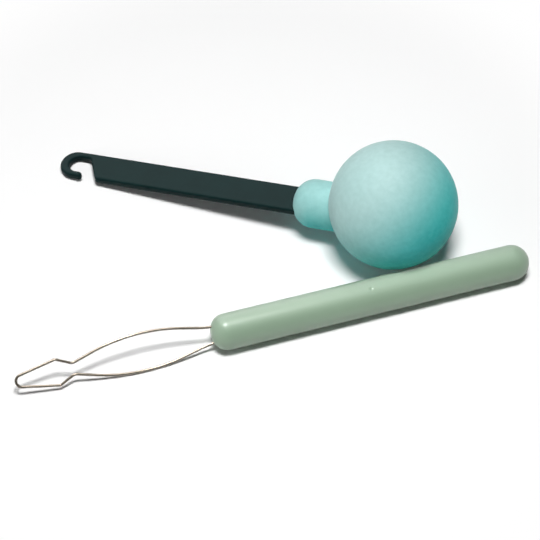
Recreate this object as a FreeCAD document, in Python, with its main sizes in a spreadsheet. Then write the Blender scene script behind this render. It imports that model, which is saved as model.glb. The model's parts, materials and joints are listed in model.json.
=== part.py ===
"""Two dressing aids that make one set: a button hook and a ball-grip hook.

The button hook is a round handle moulded as two half-shells, with a bent steel wire loop
clamped between them.  The ball-grip hook is a flat bar with a C-shaped hook at its tip and
a foam ball moulded over its tang.  They lie side by side on one flat surface.

Row frame: +X runs along the button hook from the tip of its wire to the rear of its handle,
+Z is up, and the origin is the middle of the underside of the set's bounding box.
Lengths are in millimetres and angles in degrees.
"""
import FreeCAD, Part
import math
import os
import re
import Sketcher
from FreeCAD import Placement, Rotation, Vector

os.makedirs("parts", exist_ok=True)
doc = FreeCAD.newDocument("dressing_aids")

# --------------------------------------------------------------------------- sizes
SIZES = [
    # the handle of the button hook
    ("handle_length", 146.0),
    ("handle_diameter", 16.0),
    ("handle_wall", 2.0),
    ("front_end_radius", 6.8),
    ("front_block_length", 12.0),
    ("anchor_start", 20.0),
    ("anchor_length", 10.0),
    ("rib_thickness", 1.6),
    ("boss_diameter", 6.0),
    ("boss_start", 38.0),
    ("boss_spacing", 33.7),
    ("boss_count", 3),
    ("pin_diameter", 2.6),
    ("pin_height", 3.2),
    ("pin_clearance", 0.1),
    ("dimple_radius", 2.6),
    ("dimple_depth", 0.22),
    ("dimple_turn", 45.0),
    # the wire loop; its reaches are measured forward from the handle's front face, and its
    # waist and tip are placed from the shoulder
    ("wire_diameter", 1.2),
    ("wire_clearance", 0.05),
    ("foot_depth", 25.0),
    ("foot_half_span", 6.0),
    ("foot_bend_radius", 1.6),
    ("leg_half_gap", 3.45),
    ("leg_bend_depth", 0.2),
    ("leg_bend_radius", 48.0),
    ("eye_reach", 32.6),
    ("eye_half_width", 11.2),
    ("eye_bend_radius", 74.0),
    ("waist_to_shoulder", 6.7),
    ("waist_half_gap", 2.5),
    ("waist_bend_radius", 3.1),
    ("shoulder_reach", 67.2),
    ("shoulder_half_width", 6.0),
    ("shoulder_bend_radius", 1.8),
    ("shoulder_to_tip", 17.9),
    ("tip_bend_radius", 2.8),
    ("nose_fold", 0.5),
    ("loop_roll", 54.8),
    # the flat bar and its hook; its reaches are measured from below the middle of the ball
    ("bar_width", 14.8),
    ("bar_thickness", 3.8),
    ("bar_edge_radius", 1.2),
    ("bar_root", 30.0),
    ("land_depth", 0.15),
    ("land_clearance", 0.4),
    ("hook_reach", 161.8),
    ("hook_arm_width", 3.0),
    ("hook_lip_width", 2.9),
    ("hook_nose_thickness", 4.5),
    ("hook_lip_length", 12.4),
    ("hook_mouth", 7.5),
    ("throat_slope", 6.6),
    ("throat_inner_radius", 3.0),
    ("throat_outer_radius", 2.0),
    ("tang_width", 9.0),
    ("tang_end", 14.0),
    ("tang_head_width", 18.0),
    ("tang_head_length", 6.0),
    ("tang_hole_diameter", 4.0),
    ("tang_hole_spacing", 10.0),
    ("tang_hole_count", 3),
    # the foam grip
    ("ball_diameter", 57.0),
    ("ball_rise", 7.7),
    ("neck_diameter", 22.1),
    ("neck_reach", 46.3),
    ("neck_end_radius", 9.4),
    # how the two tools lie beside each other
    ("ball_station", 92.0),
    ("tool_angle", 33.8),
    ("tool_gap", 0.4),
]

sheet = doc.addObject("Spreadsheet::Sheet", "sizes")
for row, (alias, number) in enumerate(SIZES, start=1):
    sheet.set("A%d" % row, alias)
    sheet.set("B%d" % row, str(number))
    sheet.setAlias("B%d" % row, alias)
doc.recompute()
ALIASES = {alias for alias, number in SIZES}
workings = doc.addObject("Spreadsheet::Sheet", "workings")


def size(alias):
    """The value of one named size, as a plain number."""
    return float(getattr(sheet, alias))


def bound(formula):
    """The formula with each alias written as FreeCAD wants it, such as sizes.bar_width."""
    return re.sub(r"[a-z_]+", lambda word: prefixed(word.group()), formula)


def prefixed(word):
    return "sizes." + word if word in ALIASES else word


def value_of(formula):
    """The number that a formula of named sizes gives now, worked out in a sheet of its own."""
    workings.set("A1", "=" + bound(formula))
    workings.recompute()
    result = workings.get("A1")
    return float(getattr(result, "Value", result))


# --------------------------------------------------------------------------- helpers
def new_body(name):
    body = doc.addObject("PartDesign::Body", name)
    body.Label = name
    return body


def new_sketch(body, name):
    """An empty sketch on the XY plane of the body's own origin."""
    sketch = body.newObject("Sketcher::SketchObject", name)
    plane = [item for item in body.Origin.OriginFeatures if item.Role == "XY_Plane"][0]
    sketch.AttachmentSupport = [(plane, "")]
    sketch.MapMode = "FlatFace"
    return sketch


def drive(sketch, constraint, formula):
    """Add a dimension to the sketch and bind it to a formula of named sizes."""
    index = sketch.addConstraint(constraint)
    name = "size_%d" % index
    sketch.renameConstraint(index, name)
    sketch.setExpression("Constraints." + name, bound(formula))


def pin_point(sketch, curve, end, x, y):
    """Hold one point of a curve at x and y, which are formulas; "0" puts it on an axis."""
    if x == "0":
        sketch.addConstraint(Sketcher.Constraint("PointOnObject", curve, end, -2))
    else:
        drive(sketch, Sketcher.Constraint("DistanceX", -1, 1, curve, end, value_of(x)), x)
    if y == "0":
        sketch.addConstraint(Sketcher.Constraint("PointOnObject", curve, end, -1))
    else:
        drive(sketch, Sketcher.Constraint("DistanceY", -1, 1, curve, end, value_of(y)), y)


def add_outline(sketch, corners, arcs=None):
    """A closed outline, drawn anticlockwise through corners given as pairs of formulas.

    arcs gives, for the number of a corner, the centre and radius of the arc that starts there.
    Every other side is straight.
    """
    arcs = arcs or {}
    places = [Vector(value_of(x), value_of(y), 0) for x, y in corners]
    curves = []
    for number, start in enumerate(places):
        finish = places[(number + 1) % len(places)]
        if number in arcs:
            (centre_x, centre_y), radius = arcs[number]
            centre = Vector(value_of(centre_x), value_of(centre_y), 0)
            circle = Part.Circle(centre, Vector(0, 0, 1), value_of(radius))
            first = math.atan2(start.y - centre.y, start.x - centre.x)
            last = math.atan2(finish.y - centre.y, finish.x - centre.x)
            curve = sketch.addGeometry(Part.ArcOfCircle(circle, first, last))
        else:
            curve = sketch.addGeometry(Part.LineSegment(start, finish))
        curves.append(curve)
    for number, curve in enumerate(curves):
        following = curves[(number + 1) % len(curves)]
        sketch.addConstraint(Sketcher.Constraint("Coincident", curve, 2, following, 1))
    for number, (x, y) in enumerate(corners):
        pin_point(sketch, curves[number], 1, x, y)
    for number, (centre, radius) in arcs.items():
        drive(sketch, Sketcher.Constraint("Radius", curves[number], value_of(radius)), radius)


def add_circle(sketch, x, y, diameter):
    """A circle with its centre at the formulas x and y."""
    centre = Vector(value_of(x), value_of(y), 0)
    curve = sketch.addGeometry(Part.Circle(centre, Vector(0, 0, 1), value_of(diameter) / 2))
    pin_point(sketch, curve, 3, x, y)
    drive(sketch, Sketcher.Constraint("Diameter", curve, value_of(diameter)), diameter)


def finish(body, feature):
    """Recompute the document, and make the feature the end of its body."""
    body.Tip = feature
    doc.recompute()
    return feature


def turn_half(body, kind, name, sketch, upward):
    """Turn a sketch half way round the X axis, above or below the XY plane."""
    feature = body.newObject("PartDesign::" + kind, name)
    feature.Profile = sketch
    feature.ReferenceAxis = (sketch, ["H_Axis"])
    feature.Angle = 180
    feature.Reversed = not upward
    return finish(body, feature)


def pad(body, name, sketch, length, upward=True, both_ways=False):
    feature = body.newObject("PartDesign::Pad", name)
    feature.Profile = sketch
    feature.SideType = "Symmetric" if both_ways else "One side"
    feature.Reversed = not upward
    feature.setExpression("Length", bound(length))
    return finish(body, feature)


def pocket(body, name, sketch, depth, upward=True, both_ways=False):
    """Cut a sketch into the body; a pocket that is not reversed cuts downward."""
    feature = body.newObject("PartDesign::Pocket", name)
    feature.Profile = sketch
    feature.SideType = "Symmetric" if both_ways else "One side"
    feature.Reversed = upward
    feature.setExpression("Length", bound(depth))
    return finish(body, feature)


def row_along_x(body, name, original, spacing, count, backward=False):
    """Repeat a feature at a fixed spacing along X."""
    feature = body.newObject("PartDesign::LinearPattern", name)
    feature.Originals = [original]
    feature.Direction = (original.Profile[0], ["H_Axis"])
    feature.Reversed = backward
    feature.setExpression("Length", bound("%s * (%s - 1)" % (spacing, count)))
    feature.setExpression("Occurrences", bound(count))
    return finish(body, feature)


def cylinder(body, kind, name, radius, height, place, rotation=None):
    """A PartDesign cylinder; place is three formulas."""
    feature = body.newObject("PartDesign::%sCylinder" % kind, name)
    feature.setExpression("Radius", bound(radius))
    feature.setExpression("Height", bound(height))
    feature.Placement = Placement(Vector(), rotation or Rotation())
    for axis, formula in zip("xyz", place):
        feature.setExpression("Placement.Base." + axis, bound(formula))
    return finish(body, feature)


def block(body, kind, name, lengths, place):
    """A PartDesign box; lengths and place are three formulas each."""
    feature = body.newObject("PartDesign::%sBox" % kind, name)
    for side, formula in zip(("Length", "Width", "Height"), lengths):
        feature.setExpression(side, bound(formula))
    for axis, formula in zip("xyz", place):
        feature.setExpression("Placement.Base." + axis, bound(formula))
    return finish(body, feature)


def sphere(body, kind, name, radius, place):
    """A PartDesign sphere; place is three formulas.

    It is turned half round, so that its seam lies on the -X side.
    """
    feature = body.newObject("PartDesign::%sSphere" % kind, name)
    feature.setExpression("Radius", bound(radius))
    feature.Placement = Placement(Vector(), Rotation(180, 0, 0))
    for axis, formula in zip("xyz", place):
        feature.setExpression("Placement.Base." + axis, bound(formula))
    return finish(body, feature)


def round_edges(body, name, base, wanted, radius):
    """Round those edges of the base feature that pass the test called wanted."""
    edges = base.Shape.Edges
    names = ["Edge%d" % number for number, edge in enumerate(edges, 1) if wanted(edge)]
    feature = body.newObject("PartDesign::Fillet", name)
    feature.Base = (base, names)
    feature.setExpression("Radius", bound(radius))
    return finish(body, feature)


def cut_away(name, base, tool):
    feature = doc.addObject("Part::Cut", name)
    feature.Label = name
    feature.Base = base
    feature.Tool = tool
    return feature


# --------------------------------------------------------------------------- wire
WAIST_REACH = "shoulder_reach - waist_to_shoulder"


LEAST_STRAIGHT = 0.02


def bend_radii(points, radii):
    """The bends' radii, made smaller where two bends would run into each other.

    Each run keeps a small share of its length straight, and its two bends share the rest.
    """
    turns = []
    for before, corner, after in zip(points, points[1:], points[2:]):
        turns.append((corner - before).getAngle(after - corner) / 2)
    trims = [radius * math.tan(turn) for radius, turn in zip(radii, turns)]
    ends = [0.0] + trims + [0.0]
    shares = []
    for start, end, near, far in zip(points, points[1:], ends, ends[1:]):
        room = (end - start).Length * (1 - LEAST_STRAIGHT)
        shares.append(min(1.0, room / (near + far)))
    return [radius * min(pair) for radius, pair in zip(radii, zip(shares, shares[1:]))]


def rounded_route(points, radii):
    """Straight runs joined by tangent arcs, with one radius for each point between the ends."""
    edges = []
    start = points[0]
    for before, corner, after, radius in zip(points, points[1:], points[2:], bend_radii(points, radii)):
        inward = (corner - before).normalize()
        outward = (after - corner).normalize()
        half_turn = inward.getAngle(outward) / 2
        trim = radius * math.tan(half_turn)
        arc_start = corner - inward * trim
        arc_end = corner + outward * trim
        aside = (outward - inward).normalize()
        arc_middle = corner + aside * (radius / math.cos(half_turn) - radius)
        edges.append(Part.LineSegment(start, arc_start).toShape())
        edges.append(Part.Arc(arc_start, arc_middle, arc_end).toShape())
        start = arc_end
    edges.append(Part.LineSegment(start, points[-1]).toShape())
    return Part.Wire(edges)


def bent_rod(points, radii, rod_radius):
    """A round rod that follows a rounded route."""
    route = rounded_route(points, radii)
    section = Part.Circle(points[0], points[1] - points[0], rod_radius).toShape()
    rod = route.makePipeShell([Part.Wire([section])], True, False)
    expected = math.pi * rod_radius ** 2 * route.Length
    if abs(rod.Volume / expected - 1) > 0.002:
        raise RuntimeError("a bent rod is not as long as its route")
    return rod


def on_loop(reach, across):
    """A point of the wire's flat pattern in the handle's frame.

    What lies beyond the waist is folded down about the line across the waist.
    """
    waist = value_of(WAIST_REACH)
    nose = max(0.0, reach - waist)
    fold = math.radians(size("nose_fold"))
    straight = min(reach, waist)
    return Vector(-straight - nose * math.cos(fold), across, -nose * math.sin(fold))


def leg_points(side, foot_extra=0.0):
    """One leg from the end of its foot, past the two bends in the handle, to the eye's corner."""
    foot = side * (size("foot_half_span") + foot_extra)
    gap = side * size("leg_half_gap")
    return [
        on_loop(-size("foot_depth"), foot),
        on_loop(-size("foot_depth"), gap),
        on_loop(-size("leg_bend_depth"), gap),
        on_loop(size("eye_reach"), side * size("eye_half_width")),
    ]


def tip_corner():
    """Where the two straight sides of the nose would meet if the tip's arc were not there."""
    rise = size("shoulder_half_width")
    run = size("shoulder_to_tip") - size("tip_bend_radius")
    to_centre = math.atan2(rise, run)
    slope = to_centre - math.asin(size("tip_bend_radius") / math.hypot(rise, run))
    return on_loop(size("shoulder_reach") + rise / math.tan(slope), 0.0)


def make_wire_loop():
    """One steel wire: foot, leg, eye, waist, shoulder, tip, and the same again mirrored."""
    halves = []
    for side in (1, -1):
        half = leg_points(side)
        half.append(on_loop(value_of(WAIST_REACH), side * size("waist_half_gap")))
        half.append(on_loop(size("shoulder_reach"), side * size("shoulder_half_width")))
        halves.append(half)
    points = halves[0] + [tip_corner()] + halves[1][::-1]
    bends = ["foot", "leg", "eye", "waist", "shoulder", "tip", "shoulder", "waist", "eye", "leg", "foot"]
    radii = [size(bend + "_bend_radius") for bend in bends]
    loop = doc.addObject("Part::Feature", "wire_loop")
    loop.Label = "wire_loop"
    loop.Shape = bent_rod(points, radii, size("wire_diameter") / 2)
    return loop


def make_wire_channels():
    """The space that the two legs and feet need inside the handle."""
    radii = [size("foot_bend_radius"), size("leg_bend_radius")]
    radius = size("wire_diameter") / 2 + size("wire_clearance")
    channels = []
    for side in (1, -1):
        points = leg_points(side, size("wire_clearance"))
        channels.append(bent_rod(points, radii, radius))
    tool = doc.addObject("Part::Feature", "wire_channels")
    tool.Shape = Part.Compound(channels)
    return tool


# --------------------------------------------------------------------------- handle
def boss_place(number):
    """How far the boss with this number is from the front of the handle."""
    return "boss_start + %d * boss_spacing" % number


def hollow_bays(sketch):
    """The hollows between the solid nose, the wire's anchor block, the ribs and the rear end."""
    inner = "handle_diameter / 2 - handle_wall"
    walls = [("front_block_length", "anchor_start")]
    start = "anchor_start + anchor_length"
    for number in range(int(size("boss_count"))):
        rib = boss_place(number)
        walls.append((start, rib + " - rib_thickness / 2"))
        start = rib + " + rib_thickness / 2"
    for left, right in walls:
        add_outline(sketch, [(left, "0"), (right, "0"), (right, inner), (left, inner)])
    dome = "handle_length - handle_diameter / 2"
    corners = [(start, "0"), ("handle_length - handle_wall", "0"), (dome, inner), (start, inner)]
    add_outline(sketch, corners, {1: ((dome, "0"), inner)})


def make_handle_shell(name, upward):
    """One half of the handle, above or below its joint face, which is the XY plane.

    The X axis is the middle of the handle, and x = 0 is its front face.
    """
    body = new_body(name)
    radius = "handle_diameter / 2"
    dome = "handle_length - handle_diameter / 2"
    shoulder = "handle_diameter / 2 - front_end_radius"
    outside = new_sketch(body, name + "_outside")
    corners = [
        ("0", "0"),
        ("handle_length", "0"),
        (dome, radius),
        ("front_end_radius", radius),
        ("0", shoulder),
    ]
    arcs = {
        1: ((dome, "0"), radius),
        3: (("front_end_radius", shoulder), "front_end_radius"),
    }
    add_outline(outside, corners, arcs)
    turn_half(body, "Revolution", name + "_skin", outside, upward)

    inside = new_sketch(body, name + "_inside")
    hollow_bays(inside)
    turn_half(body, "Groove", name + "_hollow", inside, upward)

    boss_sketch = new_sketch(body, name + "_boss_circle")
    add_circle(boss_sketch, "boss_start", "0", "boss_diameter")
    boss = pad(body, name + "_boss", boss_sketch, "(handle_diameter - handle_wall) / 2", upward)
    row_along_x(body, name + "_bosses", boss, "boss_spacing", "boss_count")
    return body


def make_lower_shell():
    """The lower half-shell, with a pin that stands on each boss."""
    body = make_handle_shell("lower_shell", upward=False)
    sketch = new_sketch(body, "pin_circle")
    add_circle(sketch, "boss_start", "0", "pin_diameter")
    pin = pad(body, "pin", sketch, "pin_height")
    row_along_x(body, "pins", pin, "boss_spacing", "boss_count")
    return body


def make_upper_shell():
    """The upper half-shell, with a socket in each boss and a gate dimple level with the middle one."""
    body = make_handle_shell("upper_shell", upward=True)
    sketch = new_sketch(body, "socket_circle")
    add_circle(sketch, "boss_start", "0", "pin_diameter + 2 * pin_clearance")
    socket = pocket(body, "socket", sketch, "pin_height + 2 * pin_clearance")
    row_along_x(body, "sockets", socket, "boss_spacing", "boss_count")
    middle = int(size("boss_count")) // 2
    outward = "(handle_diameter / 2 + dimple_radius - dimple_depth)"
    place = [
        boss_place(middle),
        outward + " * sin(dimple_turn * 1 deg)",
        outward + " * cos(dimple_turn * 1 deg)",
    ]
    sphere(body, "Subtractive", "gate_dimple", "dimple_radius", place)
    return body


# --------------------------------------------------------------------------- hook bar
def upright_edge(x, y):
    """A test for the edge that stands across the plate at the formulas x and y."""
    corner = Vector(value_of(x), value_of(y), 0)

    def wanted(edge):
        middle = edge.CenterOfMass
        flat = Vector(middle.x, middle.y, 0)
        upright = edge.BoundBox.ZLength > size("bar_thickness") * 0.9
        return upright and flat.distanceToPoint(corner) < 0.01

    return wanted


def face_edge(edge):
    """A test for the edges around the two flat faces, apart from those at the root."""
    box = edge.BoundBox
    level = box.ZLength < 0.001
    at_root = box.XMax < size("bar_root") + 0.001
    return level and not at_root


def make_hook_bar():
    """The flat bar with its C-shaped hook, and the drilled tang inside the grip.

    The bar lies in the XY plane, x = 0 is below the middle of the ball, and the hook opens
    toward +Y.
    """
    body = new_body("hook_bar")
    far = "0 - bar_width / 2"
    near = "bar_width / 2"
    round_middle = "hook_reach - bar_width / 2"
    arm = "hook_arm_width - bar_width / 2"
    lip = "bar_width / 2 - hook_lip_width"
    slot_radius = "(bar_width - hook_arm_width - hook_lip_width) / 2"
    slot_middle_x = "hook_reach - hook_nose_thickness - " + slot_radius
    slot_middle_y = "(hook_arm_width - hook_lip_width) / 2"
    lip_end = "hook_reach - hook_lip_length"
    throat_outer = lip_end + " - hook_mouth"
    throat_inner = throat_outer + " + throat_slope"
    bottom = "0 - bar_thickness / 2"

    blank = new_sketch(body, "bar_blank")
    corners = [("bar_root", far), (round_middle, far), (round_middle, near), ("bar_root", near)]
    add_outline(blank, corners)
    pad(body, "bar_plate", blank, "bar_thickness", both_ways=True)
    nose_place = [round_middle, "0", bottom]
    cylinder(body, "Additive", "bar_nose", "bar_width / 2", "bar_thickness", nose_place)

    slot = new_sketch(body, "hook_slot")
    outside = "bar_width"
    corners = [
        (throat_inner, arm),
        (slot_middle_x, arm),
        (slot_middle_x, lip),
        (lip_end, lip),
        (lip_end, outside),
        (throat_outer + " - throat_slope * (bar_width / 2) / (bar_width - hook_arm_width)", outside),
    ]
    add_outline(slot, corners)
    pocket(body, "hook_opening", slot, "2 * bar_thickness", both_ways=True)
    slot_place = [slot_middle_x, slot_middle_y, bottom]
    hook = cylinder(body, "Subtractive", "hook_round", slot_radius, "bar_thickness", slot_place)

    inner_corner = upright_edge(throat_inner, arm)
    hook = round_edges(body, "throat_inner", hook, inner_corner, "throat_inner_radius")
    outer_corner = upright_edge(throat_outer, near)
    hook = round_edges(body, "throat_outer", hook, outer_corner, "throat_outer_radius")
    lip_outer = upright_edge(lip_end, near)
    hook = round_edges(body, "lip_outer", hook, lip_outer, "0.49 * hook_lip_width")
    lip_inner = upright_edge(lip_end, lip)
    hook = round_edges(body, "lip_inner", hook, lip_inner, "0.49 * hook_lip_width")
    eased = "min(bar_edge_radius; 0.42 * hook_lip_width; 0.42 * hook_arm_width; 0.42 * bar_thickness)"
    round_edges(body, "bar_edges", hook, face_edge, eased)

    # Where the foam's mould shuts on the bar, both flat faces are a little lower.
    land_start = "bar_root - land_clearance"
    land_length = "neck_reach + 2 * land_clearance - bar_root"
    land_block = [land_length, "2 * bar_width", "bar_thickness"]
    top = [land_start, "0 - bar_width", "bar_thickness / 2 - land_depth"]
    block(body, "Subtractive", "land_above", land_block, top)
    under = [land_start, "0 - bar_width", "land_depth - 3 * bar_thickness / 2"]
    block(body, "Subtractive", "land_below", land_block, under)

    tang = new_sketch(body, "tang_outline")
    head_back = "0 - tang_end"
    head_front = "tang_head_length - tang_end"
    tang_front = "bar_root + bar_edge_radius"
    corners = [
        (head_back, "0 - tang_head_width / 2"),
        (head_front, "0 - tang_head_width / 2"),
        (head_front, "0 - tang_width / 2"),
        (tang_front, "0 - tang_width / 2"),
        (tang_front, "tang_width / 2"),
        (head_front, "tang_width / 2"),
        (head_front, "tang_head_width / 2"),
        (head_back, "tang_head_width / 2"),
    ]
    add_outline(tang, corners)
    pad(body, "tang", tang, "bar_thickness", both_ways=True)

    drill = new_sketch(body, "tang_hole_circle")
    add_circle(drill, "bar_root - tang_hole_spacing / 2", "0", "tang_hole_diameter")
    hole = pocket(body, "tang_hole", drill, "2 * bar_thickness", both_ways=True)
    row_along_x(body, "tang_holes", hole, "tang_hole_spacing", "tang_hole_count", backward=True)
    return body


# --------------------------------------------------------------------------- grip
def make_foam():
    """The outside of the foam grip, in the frame of the hook bar: a ball with a domed neck."""
    body = new_body("foam_outside")
    sphere(body, "Additive", "ball", "ball_diameter / 2", ["0", "0", "ball_rise"])
    along_x = Rotation(Vector(0, 1, 0), 90)
    neck_place = ["0", "0", "0"]
    neck = cylinder(body, "Additive", "neck", "neck_diameter / 2", "neck_reach", neck_place, along_x)

    def neck_rim(edge):
        return edge.BoundBox.XMin > size("neck_reach") - 0.001

    round_edges(body, "neck_dome", neck, neck_rim, "min(neck_end_radius; 0.49 * neck_diameter)")
    return body


# --------------------------------------------------------------------------- pose
def handle_pose(shift):
    """The handle lies on the surface, rolled so that one side of the wire loop is raised."""
    seat = Vector(0, 0, size("handle_diameter") / 2)
    return Placement(shift + seat, Rotation(Vector(1, 0, 0), size("loop_roll")))


def hook_pose(shift):
    """The ball rests on the surface beside the handle, and the bar slopes down to its tip."""
    ball_radius = size("ball_diameter") / 2
    handle_radius = size("handle_diameter") / 2
    edge = size("bar_edge_radius")
    below = size("ball_rise") + size("bar_thickness") / 2 - edge
    ahead = size("hook_reach") - edge
    slope = math.asin((ball_radius - edge) / math.hypot(below, ahead)) - math.atan2(below, ahead)
    apart = ball_radius + handle_radius + size("tool_gap")
    aside = math.sqrt(apart ** 2 - (ball_radius - handle_radius) ** 2)
    ball_middle = Vector(size("ball_station"), aside, ball_radius)
    turn = Rotation(180 - size("tool_angle"), math.degrees(slope), 0)
    below_ball = turn.multVec(Vector(0, 0, size("ball_rise")))
    return Placement(shift + ball_middle - below_ball, turn)


lower_shell = make_lower_shell()
upper_shell = make_upper_shell()
channels = make_wire_channels()
wire_loop = make_wire_loop()
hook_bar = make_hook_bar()
foam = make_foam()
handle_lower = cut_away("handle_lower", lower_shell, channels)
handle_upper = cut_away("handle_upper", upper_shell, channels)
ball_grip = cut_away("ball_grip", foam, hook_bar)
PIECES = [handle_lower, handle_upper, wire_loop, hook_bar, ball_grip]


def place_all(shift):
    """Put both tools in their places, moved together by the shift."""
    for piece in (lower_shell, upper_shell, channels, wire_loop):
        piece.Placement = handle_pose(shift)
    for piece in (hook_bar, foam):
        piece.Placement = hook_pose(shift)
    doc.recompute()


place_all(Vector())
box = Part.Compound([piece.Shape for piece in PIECES]).optimalBoundingBox(False, False)
place_all(Vector(-box.Center.x, -box.Center.y, -box.ZMin))

# --------------------------------------------------------------------------- check and write
for item in doc.Objects:
    if "Invalid" in item.State or "Error" in item.State:
        raise RuntimeError("%s could not be worked out" % item.Name)
for piece in PIECES:
    shape = piece.Shape
    if shape.isNull() or not shape.isValid() or len(shape.Solids) != 1:
        raise RuntimeError("%s is not one valid solid" % piece.Label)
for piece in PIECES:
    piece.Shape.exportStep("parts/%s.step" % piece.Label)
    print("%s: %.0f cubic mm" % (piece.Label, piece.Shape.Volume))
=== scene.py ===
# %% [markdown]
# # Two dressing aids
#
# A button hook and a ball-grip hook lie side by side on a pale table. The button hook is a
# glossy moulded handle with a bent steel wire. The ball-grip hook is a flat dark bar with a
# small C-shaped hook at its tip and a ball of soft moulded foam round its other end.
#
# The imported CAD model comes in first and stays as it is. Everything else is made around it, in
# the same frame and in metres.

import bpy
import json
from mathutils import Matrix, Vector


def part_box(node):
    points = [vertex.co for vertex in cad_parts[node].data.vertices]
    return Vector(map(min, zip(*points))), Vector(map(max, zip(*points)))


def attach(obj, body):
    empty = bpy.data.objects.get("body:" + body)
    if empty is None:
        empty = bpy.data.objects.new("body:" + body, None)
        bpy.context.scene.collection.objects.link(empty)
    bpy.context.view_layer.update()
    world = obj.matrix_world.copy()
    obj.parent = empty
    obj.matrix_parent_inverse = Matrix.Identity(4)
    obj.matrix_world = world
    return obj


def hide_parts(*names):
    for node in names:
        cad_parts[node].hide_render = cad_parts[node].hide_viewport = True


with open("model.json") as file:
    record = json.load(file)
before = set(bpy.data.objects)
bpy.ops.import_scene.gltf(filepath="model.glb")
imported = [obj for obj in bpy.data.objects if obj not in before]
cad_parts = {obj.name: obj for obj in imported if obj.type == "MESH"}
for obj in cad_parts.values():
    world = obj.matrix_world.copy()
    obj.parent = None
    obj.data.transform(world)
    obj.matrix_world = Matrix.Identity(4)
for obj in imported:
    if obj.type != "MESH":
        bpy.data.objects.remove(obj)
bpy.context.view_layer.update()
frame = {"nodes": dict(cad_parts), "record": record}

# %% Tools for the lesson
import json
import math

import bpy
import numpy as np
from mathutils import Vector

MM = 0.001
scene = bpy.context.scene

# %% [markdown]
# ## Where things are
#
# The ball stands highest, so the top of its box gives its diameter, and two sides of the box
# that only the ball reaches give its middle. The flat face of the bar is a mount in the record,
# and the direction of that face tells how the bar is turned and tilted. Reading both from the
# frame keeps the pieces in place when the CAD model changes.

# %% The ball and the direction of the bar
foam_low, foam_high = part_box("ball_grip")
BALL_RADIUS = (foam_high.z - foam_low.z) / 2
BALL_MIDDLE = np.array([foam_high.x - BALL_RADIUS, foam_low.y + BALL_RADIUS, BALL_RADIUS])

face_mount = [m for m in frame["record"]["mounts"] if m["name"] == "bar_face"][0]
BAR_UP = np.array(face_mount["axis"], float)
BAR_UP = BAR_UP / np.linalg.norm(BAR_UP)
heading = np.array([BAR_UP[0], BAR_UP[1], 0.0]) / math.hypot(BAR_UP[0], BAR_UP[1])
BAR_FORWARD = heading * BAR_UP[2] - np.array([0.0, 0.0, math.hypot(BAR_UP[0], BAR_UP[1])])
BAR_SIDE = np.cross(BAR_UP, BAR_FORWARD)
BALL_RISE = 7.7 * MM  # how far the ball's middle lies above the bar's axis
BAR_BASE = BALL_MIDDLE - BALL_RISE * BAR_UP
print("ball radius %.2f mm, middle %s" % (BALL_RADIUS / MM, np.round(BALL_MIDDLE / MM, 2)))
print("bar points along", np.round(BAR_FORWARD, 4), "from", np.round(BAR_BASE / MM, 2))


# %% [markdown]
# ## From arrays to a mesh
#
# Each new piece is a grid of points worked out as whole numpy arrays. This helper turns the grid
# into a mesh with four-sided faces. The columns close on themselves, like the slats of a barrel,
# and both ends close on one point, so the skin has no holes.

# %% A closed grid as a mesh object
def closed_grid(name, points, first_pole, last_pole):
    """A mesh object from points[row, column] that wraps round its columns.

    The first row fans out from first_pole and the last row closes on last_pole.
    """
    rows, columns = points.shape[:2]
    column = np.arange(columns)
    beside = (column + 1) % columns
    row = np.arange(rows - 1)[:, None] * columns
    corners = [row + column, row + beside, row + columns + beside, row + columns + column]
    quads = np.stack(corners, axis=-1).reshape(-1, 4)
    pole = rows * columns
    start = np.stack([np.full(columns, pole), beside, column], axis=-1)
    last = (rows - 1) * columns
    end = np.stack([np.full(columns, pole + 1), last + column, last + beside], axis=-1)
    vertices = np.concatenate([points.reshape(-1, 3), [first_pole], [last_pole]])
    mesh = bpy.data.meshes.new(name)
    mesh.from_pydata(vertices.tolist(), [], quads.tolist() + start.tolist() + end.tolist())
    mesh.polygons.foreach_set("use_smooth", np.ones(len(mesh.polygons), bool))
    mesh.update()
    piece = bpy.data.objects.new(name, mesh)
    scene.collection.objects.link(piece)
    print(name, "has", len(mesh.vertices), "points and", len(mesh.polygons), "faces")
    return piece


# %% [markdown]
# ## Grain that is the same each time
#
# Foam isn't perfectly round: its skin swells and sinks by a few hundredths of a millimetre. Noise
# gives that, and it has to be the same in each run, so the random numbers come from a seed. They
# sit on a lattice of little cubes, and between its corners they are blended smoothly.

# %% Smooth lattice noise
GRAIN_SEED = 11
LATTICE_SIZE = 32
grain_numbers = np.random.default_rng(GRAIN_SEED)
LATTICE = grain_numbers.uniform(-1.0, 1.0, (LATTICE_SIZE, LATTICE_SIZE, LATTICE_SIZE))
print("lattice of", LATTICE.size, "random numbers from", LATTICE.min(), "to", LATTICE.max())


def smooth_noise(points, cell):
    """Random values on a lattice of the given cell, blended by 3t^2 - 2t^3 along each axis."""
    place = points / cell
    whole = np.floor(place).astype(int)
    part = place - whole
    part = part * part * (3 - 2 * part)
    total = np.zeros(points.shape[:-1])
    for corner in np.ndindex(2, 2, 2):
        index = (whole + corner) % LATTICE_SIZE
        share = np.prod(np.where(corner, part, 1 - part), axis=-1)
        total += share * LATTICE[index[..., 0], index[..., 1], index[..., 2]]
    return total


# %% [markdown]
# ## The foam grip
#
# The grip is one moulding: a ball, and a short neck with a domed end that the bar comes out of.
# The neck's axis passes below the middle of the ball. Where the two meet there is a crisp crease.
# A sphere and a cylinder joined by a boolean would give that crease a ragged row of faces. Here
# one row of the grid lies exactly on the crease instead: the rows before it follow the neck's
# profile, and the rows after it run over the ball along great circles to its far side.

# %% The shape of the grip
NECK_RADIUS = 11.05 * MM
NECK_REACH = 46.3 * MM
NECK_END_RADIUS = 9.4 * MM
FIRST_BEND = 0.04  # radians: the dome's first row lies just outside its pole
GRIP_COLUMNS = 400
DOME_ROWS = 30
NECK_ROWS = 24
BALL_ROWS = 184


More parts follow.
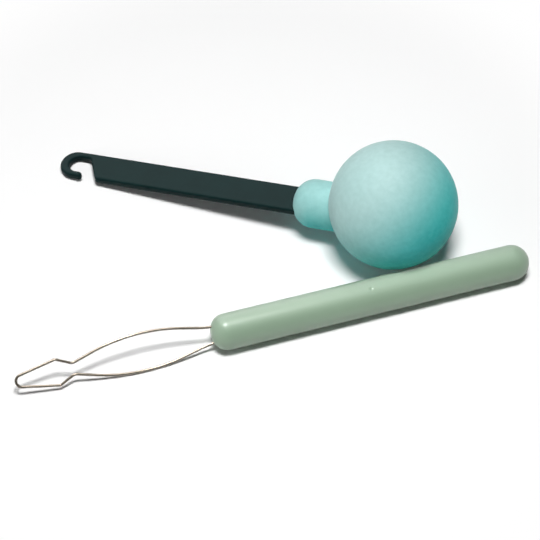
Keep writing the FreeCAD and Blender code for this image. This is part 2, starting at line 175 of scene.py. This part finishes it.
def on_tool(along, aside, above):
    """Points given along, beside and above the bar's axis, moved into the row frame."""
    axes = np.stack([BAR_FORWARD, BAR_SIDE, BAR_UP])
    return BAR_BASE + np.stack([along, aside, above], axis=-1) @ axes


def crease(turn):
    """How far along its axis the neck's wall meets the ball, for each turn round the neck.

    Pythagoras in space: along^2 + aside^2 + (above - rise)^2 = ball radius^2.
    """
    aside = NECK_RADIUS * np.cos(turn)
    above = NECK_RADIUS * np.sin(turn) - BALL_RISE
    return np.sqrt(BALL_RADIUS ** 2 - aside ** 2 - above ** 2)


def grip_points():
    """The grid of the grip: a dome's quarter circle, a straight wall, then great circles."""
    turn = np.linspace(0, 2 * np.pi, GRIP_COLUMNS, endpoint=False)[None, :]
    bend = np.linspace(FIRST_BEND, np.pi / 2, DOME_ROWS)[:, None]
    dome_along = NECK_REACH - NECK_END_RADIUS * (1 - np.cos(bend)) + 0 * turn
    dome_radius = NECK_RADIUS - NECK_END_RADIUS * (1 - np.sin(bend)) + 0 * turn
    share = np.linspace(0, 1, NECK_ROWS + 1)[1:, None]
    dome_foot = NECK_REACH - NECK_END_RADIUS
    wall_along = dome_foot + share * (crease(turn) - dome_foot)
    wall_radius = NECK_RADIUS + 0 * wall_along
    along = np.concatenate([dome_along, wall_along])
    radius = np.concatenate([dome_radius, wall_radius])
    neck = on_tool(along, radius * np.cos(turn), radius * np.sin(turn))

    start = (neck[-1] - BALL_MIDDLE) / BALL_RADIUS
    pole = -BAR_FORWARD
    angle = np.arccos(np.clip(start @ pole, -1, 1))
    travel = np.linspace(0, 1, BALL_ROWS + 2)[1:-1, None]
    from_start = np.sin((1 - travel) * angle) / np.sin(angle)
    from_pole = np.sin(travel * angle) / np.sin(angle)
    ball = from_start[..., None] * start + from_pole[..., None] * pole
    return np.concatenate([neck, BALL_MIDDLE + BALL_RADIUS * ball])


# %% [markdown]
# ## Skin on the foam
#
# Three sizes of noise move each point a little way in or out: a slow swell, a coarse grain and a
# fine grain. They move it along the direction that points out of the skin. Real displacement,
# and not only bump, makes the outline of the ball slightly uneven too.

# %% Swell and grain on the skin
SWELL_DEPTH = 0.05 * MM
SWELL_CELL = 7.0 * MM
GRAIN_DEPTH = 0.028 * MM
COARSE_CELL = 1.5 * MM
COARSE_SHIFT = 0.05
FINE_CELL = 0.8 * MM
FINE_SHIFT = 0.11
FINE_SHARE = 0.6
SKIN_MARGIN = 0.01 * MM  # a point this far outside the ball belongs to the neck


def outward(points):
    """The direction out of the skin: away from the ball's middle, or from the neck's axis."""
    from_ball = points - BALL_MIDDLE
    on_ball = np.linalg.norm(from_ball, axis=-1, keepdims=True) < BALL_RADIUS + SKIN_MARGIN
    along = (points - BAR_BASE) @ BAR_FORWARD
    along = np.minimum(along, NECK_REACH - NECK_END_RADIUS)
    from_axis = points - BAR_BASE - along[..., None] * BAR_FORWARD
    away = np.where(on_ball, from_ball, from_axis)
    return away / np.linalg.norm(away, axis=-1, keepdims=True)


def with_skin(points):
    """The points moved along their normals by slow swell and by grain of two sizes."""
    swell = smooth_noise(points, SWELL_CELL)
    coarse = smooth_noise(points + COARSE_SHIFT, COARSE_CELL)
    fine = smooth_noise(points + FINE_SHIFT, FINE_CELL)
    grain = coarse + FINE_SHARE * fine
    return points + outward(points) * (SWELL_DEPTH * swell + GRAIN_DEPTH * grain)[..., None]


# %% The foam grip as a piece
neck_tip = BAR_BASE + NECK_REACH * BAR_FORWARD
ball_back = BALL_MIDDLE - BALL_RADIUS * BAR_FORWARD
foam_grip = closed_grid("foam_grip", with_skin(grip_points()), neck_tip, ball_back)
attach(foam_grip, "ball_hook")
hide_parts("ball_grip")

# kept out of the handle's gloss: the text on the table and the light says why
foam_grip.visible_glossy = False

# %% [markdown]
# ## Where light is painted on the foam
#
# The ball is painted paler on the side that faces up and towards the bar, and the neck less
# so. This paler colour is painted light: it stands in for the light and sheen that fall on
# that side. Here this is taken as foam that light and washing have faded, which is a guess:
# coloured light could do the same. One tone of foam leaves the whole ball too even. Each point of
# the mesh carries its own share of painted light, worked out from the way the skin faces, and the
# material reads it as an attribute, so it stays on the foam when the tool is lifted. It is
# computed on the smooth shape, before the grain, so that the grain can't make patches in it.

# %% The share of painted light at each point
# painted light: the skin that faces this way is painted paler, as if lit from there
PAINTED_LIGHT_SIDE = np.array([-0.58, 0.33, 0.745])
PAINTED_LIGHT_START = -0.40
PAINTED_LIGHT_END = 0.80
NECK_PAINTED_LIGHT = 0.72


def painted_light_share(points):
    """A smooth step, 3t^2 - 2t^3, of how far the skin faces the side where light is painted."""
    facing = outward(points) @ PAINTED_LIGHT_SIDE
    share = np.clip((facing - PAINTED_LIGHT_START) / (PAINTED_LIGHT_END - PAINTED_LIGHT_START), 0, 1)
    beyond_ball = np.linalg.norm(points - BALL_MIDDLE, axis=-1) > BALL_RADIUS + SKIN_MARGIN
    return share * share * (3 - 2 * share) * np.where(beyond_ball, NECK_PAINTED_LIGHT, 1.0)


# each point's share of painted light, kept as an attribute for the foam's material
smooth_points = np.concatenate([grip_points().reshape(-1, 3), [neck_tip], [ball_back]])
painted_light_values = painted_light_share(smooth_points)
painted_light_layer = foam_grip.data.attributes.new("painted_light", "FLOAT", "POINT")
painted_light_layer.data.foreach_set("value", painted_light_values.astype(np.float32))
print("faded share of the skin: %.2f on average" % painted_light_values.mean())


# %% [markdown]
# ## Materials
#
# A material is a small graph of nodes. These helpers start one and add nodes to it, so that each
# finish below reads as a list of what it is made of.

# %% Helpers for node graphs
def new_material(name):
    made = bpy.data.materials.new(name)
    made.use_nodes = True
    return made


def add_node(made, kind, settings=None, inputs=None):
    """Add a node, set its own settings, and fill or link its inputs by name or number."""
    node = made.node_tree.nodes.new(kind)
    for key, value in (settings or {}).items():
        setattr(node, key, value)
    for key, value in (inputs or {}).items():
        if isinstance(value, bpy.types.NodeSocket):
            made.node_tree.links.new(value, node.inputs[key])
        else:
            node.inputs[key].default_value = value
    return node


def shader_of(made):
    return made.node_tree.nodes["Principled BSDF"]


def link(made, source, target):
    made.node_tree.links.new(source, target)


# %% Noise, and where it is read
def object_place(made):
    """Object coordinates, in metres from the row frame's origin."""
    return add_node(made, "ShaderNodeTexCoord").outputs["Object"]


def noise_value(made, place, scale, detail=2.0):
    """Noise from 0 to 1; the scale is in waves per metre."""
    inputs = {"Vector": place, "Scale": scale, "Detail": detail}
    return add_node(made, "ShaderNodeTexNoise", inputs=inputs).outputs["Fac"]


def stretched(made, place, scale):
    """The coordinates squeezed by different amounts along the three axes."""
    inputs = {"Vector": place, "Scale": scale}
    return add_node(made, "ShaderNodeMapping", inputs=inputs).outputs["Vector"]


# %% Numbers and colours out of a noise
NOISE_LOW = 0.3  # most values of a noise lie between these two
NOISE_HIGH = 0.7


def between(made, value, low, high):
    """The usual range of a noise mapped on to a range of numbers, without going past it."""
    inputs = {
        "Value": value,
        "From Min": NOISE_LOW,
        "From Max": NOISE_HIGH,
        "To Min": low,
        "To Max": high,
    }
    return add_node(made, "ShaderNodeMapRange", inputs=inputs).outputs["Result"]


def two_tone(made, value, low, high):
    """A colour that goes from low to high with the value."""
    ramp = add_node(made, "ShaderNodeValToRGB", inputs={"Fac": value})
    ramp.color_ramp.elements[0].position = NOISE_LOW
    ramp.color_ramp.elements[0].color = (*low, 1)
    ramp.color_ramp.elements[1].position = NOISE_HIGH
    ramp.color_ramp.elements[1].color = (*high, 1)
    return ramp.outputs["Color"]


# %% Sums, mixes and steps
def smooth_step(made, value, start, end, lowest=0.0):
    """A value mapped from start and end on to lowest and 1, as 3t^2 - 2t^3."""
    settings = {"interpolation_type": "SMOOTHSTEP"}
    inputs = {"Value": value, "From Min": start, "From Max": end, "To Min": lowest}
    return add_node(made, "ShaderNodeMapRange", settings, inputs).outputs["Result"]


def calculate(made, operation, first, second):
    """Two values put together by one operation, such as MAXIMUM or MULTIPLY."""
    node = add_node(made, "ShaderNodeMath", {"operation": operation}, {0: first, 1: second})
    return node.outputs[0]


def mix_colours(made, share, low, high):
    """The colour low where the share is 0 and high where it is 1."""
    node = add_node(
        made, "ShaderNodeMix", {"data_type": "RGBA"}, {0: share, 6: low, 7: high}
    )
    return node.outputs[2]


def mix_numbers(made, share, low, high):
    """The number low where the share is 0 and high where it is 1."""
    inputs = {"Factor": share, "A": low, "B": high}
    return add_node(made, "ShaderNodeMix", {"data_type": "FLOAT"}, inputs).outputs[0]


# %% Relief too small for the mesh
def bump(made, height, depth, under=None):
    """A bump of the given depth in metres, on top of another bump if there is one."""
    inputs = {"Height": height, "Distance": depth, "Strength": 1.0}
    if under is not None:
        inputs["Normal"] = under
    return add_node(made, "ShaderNodeBump", inputs=inputs).outputs["Normal"]


# %% [markdown]
# ### Moulded handle plastic
#
# The handle is a sage-green plastic with a soft gloss. Moulded plastic is never quite flat: it
# sinks a little where it is thick inside, so its highlight wavers along the handle. A slow bump,
# stretched along the handle, gives that, and a faint change of tone keeps the colour alive.

# %% Sage plastic
SAGE_DARK = (0.274, 0.386, 0.278)
SAGE_LIGHT = (0.285, 0.402, 0.290)
SAGE_ROUGHNESS = (0.29, 0.34)
SAGE_SPECULAR = 0.62
SINK_SQUEEZE = (1.0, 3.0, 3.0)
SINK_WAVES = 22.0
SAGE_GRAIN_WAVES = 2600.0
SAGE_RUBBED_WAVES = 140.0
SINK_DEPTH = 0.12 * MM
SAGE_GRAIN_DEPTH = 0.002 * MM
sage_plastic = new_material("sage_plastic")
place = object_place(sage_plastic)
along_handle = stretched(sage_plastic, place, SINK_SQUEEZE)
flow = noise_value(sage_plastic, along_handle, SINK_WAVES, detail=0.0)
fine = noise_value(sage_plastic, place, SAGE_GRAIN_WAVES)
rubbed = noise_value(sage_plastic, place, SAGE_RUBBED_WAVES, detail=4.0)
shader = shader_of(sage_plastic)
tone = two_tone(sage_plastic, flow, SAGE_DARK, SAGE_LIGHT)
link(sage_plastic, tone, shader.inputs["Base Color"])
link(sage_plastic, between(sage_plastic, rubbed, *SAGE_ROUGHNESS), shader.inputs["Roughness"])
shader.inputs["Specular IOR Level"].default_value = SAGE_SPECULAR
waves = bump(sage_plastic, flow, SINK_DEPTH)
grained = bump(sage_plastic, fine, SAGE_GRAIN_DEPTH, waves)
link(sage_plastic, grained, shader.inputs["Normal"])
print("handle tone from", SAGE_DARK, "to", SAGE_LIGHT)

# %% [markdown]
# ### Drawn steel wire
#
# The wire is stainless steel pulled through a die: bright, slightly brown, with fine lines.

# %% Drawn steel
STEEL_DARK = (0.24, 0.21, 0.17)
STEEL_LIGHT = (0.31, 0.275, 0.23)
STEEL_ROUGHNESS = (0.14, 0.24)
DRAWING_WAVES = 900.0
drawn_steel = new_material("drawn_steel")
place = object_place(drawn_steel)
drawing = noise_value(drawn_steel, place, DRAWING_WAVES, detail=3.0)
shader = shader_of(drawn_steel)
shader.inputs["Metallic"].default_value = 1.0
tone = two_tone(drawn_steel, drawing, STEEL_DARK, STEEL_LIGHT)
link(drawn_steel, tone, shader.inputs["Base Color"])
link(drawn_steel, between(drawn_steel, drawing, *STEEL_ROUGHNESS), shader.inputs["Roughness"])
print("wire tone from", STEEL_DARK, "to", STEEL_LIGHT)

# %% [markdown]
# ### Satin bar plastic
#
# The bar is a stiff filled plastic, nearly black with some teal in it. Its mould was lightly
# etched, which makes it satin, and it is rubbed a little lighter here and there. Its specular
# level is set far lower than a plastic's usual 0.5, because the bar shows hardly any gloss.

# %% Dark bar plastic
BAR_DARK = (0.003, 0.014, 0.014)
BAR_LIGHT = (0.005, 0.018, 0.018)
BAR_ROUGHNESS = (0.40, 0.50)
BAR_SPECULAR = 0.06
CLOUD_WAVES = 90.0
ETCHED_WAVES = 3200.0
ETCHED_DEPTH = 0.006 * MM
bar_plastic = new_material("bar_plastic")
place = object_place(bar_plastic)
cloud = noise_value(bar_plastic, place, CLOUD_WAVES, detail=4.0)
etched = noise_value(bar_plastic, place, ETCHED_WAVES)
shader = shader_of(bar_plastic)
tone = two_tone(bar_plastic, cloud, BAR_DARK, BAR_LIGHT)
link(bar_plastic, tone, shader.inputs["Base Color"])
link(bar_plastic, between(bar_plastic, cloud, *BAR_ROUGHNESS), shader.inputs["Roughness"])
shader.inputs["Specular IOR Level"].default_value = BAR_SPECULAR
link(bar_plastic, bump(bar_plastic, etched, ETCHED_DEPTH), shader.inputs["Normal"])
print("bar tone from", BAR_DARK, "to", BAR_LIGHT)

# %% [markdown]
# ### Teal foam
#
# The foam has a matte skin of very fine cells, whose rims scatter a little light: a broad, weak
# gloss and a trace of sheen do that. Two sizes of grain break up the colour and the surface. The
# colour goes from the foam's deep teal to a paler teal with the share of painted light that each
# point carries: the paler tone is painted light on the upper side of the ball.

# %% Foam skin
DEEP_TEAL = [(0.012, 0.440, 0.425), (0.024, 0.485, 0.470)]
# painted light: the paler teal stands in for the light that falls on the ball's upper side
PAINTED_LIGHT_TEAL = [(0.356, 0.558, 0.543), (0.394, 0.600, 0.586)]
FOAM_ROUGHNESS = (0.52, 0.66)
FOAM_SPECULAR = 0.35
FOAM_SHEEN = 0.08
FOAM_SHEEN_ROUGHNESS = 0.4
CELL_WAVES = 1500.0
CELL_DEPTH = 0.035 * MM
MOTTLE_WAVES = 420.0
foam_skin = new_material("foam_skin")
place = object_place(foam_skin)
cells = noise_value(foam_skin, place, CELL_WAVES, detail=3.0)
mottle = noise_value(foam_skin, place, MOTTLE_WAVES, detail=2.0)
shader = shader_of(foam_skin)
deep = two_tone(foam_skin, mottle, *DEEP_TEAL)
pale = two_tone(foam_skin, mottle, *PAINTED_LIGHT_TEAL)
# painted light: each point's share mixes the paler teal over the foam's deep teal
painted_light = add_node(foam_skin, "ShaderNodeAttribute", {"attribute_name": "painted_light"}).outputs["Fac"]
tone = mix_colours(foam_skin, painted_light, deep, pale)
link(foam_skin, tone, shader.inputs["Base Color"])
link(foam_skin, between(foam_skin, cells, *FOAM_ROUGHNESS), shader.inputs["Roughness"])
shader.inputs["Specular IOR Level"].default_value = FOAM_SPECULAR
shader.inputs["Sheen Weight"].default_value = FOAM_SHEEN
shader.inputs["Sheen Roughness"].default_value = FOAM_SHEEN_ROUGHNESS
link(foam_skin, bump(foam_skin, cells, CELL_DEPTH), shader.inputs["Normal"])
print("foam tone from", DEEP_TEAL[0], "to", PAINTED_LIGHT_TEAL[1])


# %% [markdown]
# ### Each finish on its piece
#
# The CAD pieces keep their shape and place, and only get a finish. The foam grip gets the last.

# %% Put each finish on its piece
def finish_with(piece, made):
    piece.data.materials.clear()
    piece.data.materials.append(made)
    print(piece.name, "is finished in", made.name)


finish_with(frame["nodes"]["handle_lower"], sage_plastic)
finish_with(frame["nodes"]["handle_upper"], sage_plastic)
finish_with(frame["nodes"]["wire_loop"], drawn_steel)
finish_with(frame["nodes"]["hook_bar"], bar_plastic)
finish_with(foam_grip, foam_skin)

# %% [markdown]
# ## Table and light
#
# The two tools lie on a plain white table. Beyond the reach of both tools the table turns into
# the white of the background, so that no edge shows from any side and the shadows at rest stay
# whole. The table is nearly white where it is seen, and sends less light back, so that its
# bounce doesn't wash out the undersides.

# %% The table
TABLE_REACH = 4.0
table_mesh = bpy.data.meshes.new("table")
signs = [(-1, -1), (1, -1), (1, 1), (-1, 1)]
corners = [(TABLE_REACH * along, TABLE_REACH * across, 0) for along, across in signs]
table_mesh.from_pydata(corners, [], [(0, 1, 2, 3)])
table = bpy.data.objects.new("table", table_mesh)
scene.collection.objects.link(table)
print("the table is", 2 * TABLE_REACH, "m wide")


# %% Rays that see the table as it is
def seen_directly(made):
    """1 for rays from the camera, for mirrored rays and for rays through clear things."""
    path = add_node(made, "ShaderNodeLightPath").outputs
    seen = calculate(made, "MAXIMUM", path["Is Camera Ray"], path["Is Glossy Ray"])
    return calculate(made, "MAXIMUM", seen, path["Is Transmission Ray"])


# %% White paper on the table
TABLE_ROUGHNESS = 0.8
TABLE_SPECULAR = 0.1
BACKGROUND_STARTS = 0.13
BACKGROUND_WHOLE = 0.20
PAPER_BOUNCE = (0.70, 0.70, 0.70, 1)
PAPER_SEEN = (0.98, 0.98, 0.98, 1)
table_white = new_material("table_white")
place = object_place(table_white)
shader = shader_of(table_white)
shader.inputs["Roughness"].default_value = TABLE_ROUGHNESS
shader.inputs["Specular IOR Level"].default_value = TABLE_SPECULAR
from_middle = add_node(
    table_white, "ShaderNodeVectorMath", {"operation": "LENGTH"}, {0: place}
).outputs["Value"]
fade = smooth_step(table_white, from_middle, BACKGROUND_STARTS, BACKGROUND_WHOLE)
seen = seen_directly(table_white)
paper = mix_colours(table_white, seen, PAPER_BOUNCE, PAPER_SEEN)
link(table_white, paper, shader.inputs["Base Color"])
share = calculate(table_white, "MULTIPLY", seen, fade)
white = add_node(table_white, "ShaderNodeEmission", inputs={"Strength": 1.0})
mixed = add_node(
    table_white,
    "ShaderNodeMixShader",
    inputs={0: share, 1: shader.outputs["BSDF"], 2: white.outputs["Emission"]},
)
output = table_white.node_tree.nodes["Material Output"]
link(table_white, mixed.outputs[0], output.inputs["Surface"])
table.data.materials.append(table_white)
print("the background takes over from", BACKGROUND_STARTS, "to", BACKGROUND_WHOLE, "m")

# %% [markdown]
# ### The room
#
# The world is white where it is seen, and adds next to nothing as light, because an even fill
# would wash the shadows out. In gloss it is white at the back and darker at the front, like a
# room with one white wall.

# %% The world
FILL = 0.02
ROOM_FRONT = 0.08
ROOM_TURNS = (-0.50, -0.10)
world = bpy.data.worlds.new("studio")
scene.world = world
world.use_nodes = True
path = add_node(world, "ShaderNodeLightPath").outputs
direction = add_node(world, "ShaderNodeTexCoord").outputs["Generated"]
toward_back = add_node(
    world, "ShaderNodeSeparateXYZ", inputs={"Vector": direction}
).outputs["Y"]
room = smooth_step(world, toward_back, *ROOM_TURNS, lowest=ROOM_FRONT)
behind = calculate(world, "MAXIMUM", path["Is Camera Ray"], path["Is Transmission Ray"])
mirrored = mix_numbers(world, path["Is Glossy Ray"], FILL, room)
strength = mix_numbers(world, behind, mirrored, 1.0)
backdrop = world.node_tree.nodes["Background"]
link(world, strength, backdrop.inputs["Strength"])
backdrop.inputs["Color"].default_value = (1, 1, 1, 1)
print("the room gives", FILL, "as light and", ROOM_FRONT, "to 1 in gloss")

# %% [markdown]
# ### The lamps
#
# The lamps do separate jobs, as in a small product studio. One small lamp above gives the shapes
# their light and the table its crisp, dark shadows. A low lamp at the side lifts the left of the
# ball. These two stay out of the gloss. Three more are only seen in gloss: two large white
# cards, one behind the tools and one high above the camera, that spread a soft sheen over the
# handle, and a small lamp that puts the bright spot on its front end. The ball would be mirrored
# in the handle too. It is kept out on purpose, so that it doesn't spoil the handle's gloss.

# %% The lamps
def soft_lamp(name, place, width, height, watts, turn=0.0, lean=0.0):
    """A rectangular lamp that shines down, tipped by the turn about X and the lean about Y.

    Both angles are in degrees, and the place and the size are in metres.
    """
    lamp = bpy.data.lights.new(name, "AREA")
    lamp.shape = "RECTANGLE"
    lamp.size = width
    lamp.size_y = height
    lamp.energy = watts
    holder = bpy.data.objects.new(name, lamp)
    holder.location = place
    holder.rotation_euler = (math.radians(turn), math.radians(lean), 0)
    scene.collection.objects.link(holder)
    return holder


def hide_from(lamp, *rays):
    """Make the lamp invisible to these kinds of ray."""
    for kind in rays:
        setattr(lamp, "visible_" + kind, False)
    print(lamp.name, "gives", lamp.data.energy, "W and isn't seen by", " or ".join(rays), "rays")


# %% Two lamps that light the shapes
key = soft_lamp(
    "lamp_above", (-0.01, -0.15, 1.0), width=0.30, height=0.20, watts=10.0, turn=8.5
)
hide_from(key, "glossy")
side = soft_lamp(
    "lamp_at_the_side", (-1.15, -0.12, 0.24), width=0.6, height=1.0, watts=4.2, lean=-78.0
)
hide_from(side, "glossy", "camera")

# %% Three that only show in gloss
glint = soft_lamp("lamp_for_glints", (-0.14, 0.15, 1.0), width=0.30, height=0.22, watts=6.4)
hide_from(glint, "diffuse", "camera")
card = soft_lamp(
    "card_behind", (-0.20, 0.95, 1.083), width=1.60, height=2.80, watts=35.0, turn=-48.0
)
hide_from(card, "diffuse", "camera")
over = soft_lamp("card_over", (-0.10, -0.65, 1.9), width=1.60, height=1.30, watts=6.5)
hide_from(over, "diffuse", "camera")

# %% [markdown]
# ## Camera
#
# The camera looks down on the tools from the front, a little from the left, through a long lens
# as for a catalogue.

# %% The camera
CAMERA_AZIMUTH = math.radians(-16.478)
CAMERA_ELEVATION = math.radians(53.0)
CAMERA_DISTANCE = 0.7
CAMERA_TARGET = Vector((3.97 * MM, -30.9 * MM, 8.0 * MM))
FOCAL_LENGTH = 105.29
SENSOR_WIDTH = 36.0
NEAREST_SEEN = 0.01
FARTHEST_SEEN = 20.0
camera = bpy.data.objects.new("camera", bpy.data.cameras.new("camera"))
scene.collection.objects.link(camera)
back = Vector(
    (
        math.sin(CAMERA_AZIMUTH) * math.cos(CAMERA_ELEVATION),
        -math.cos(CAMERA_AZIMUTH) * math.cos(CAMERA_ELEVATION),
        math.sin(CAMERA_ELEVATION),
    )
)
camera.location = CAMERA_TARGET + back * CAMERA_DISTANCE
camera.rotation_euler = (-back).to_track_quat("-Z", "Y").to_euler()
camera.data.lens = FOCAL_LENGTH
camera.data.sensor_width = SENSOR_WIDTH
camera.data.clip_start = NEAREST_SEEN
camera.data.clip_end = FARTHEST_SEEN
scene.camera = camera
scene.view_settings.view_transform = "Standard"
print("camera at", [round(value, 4) for value in camera.location])
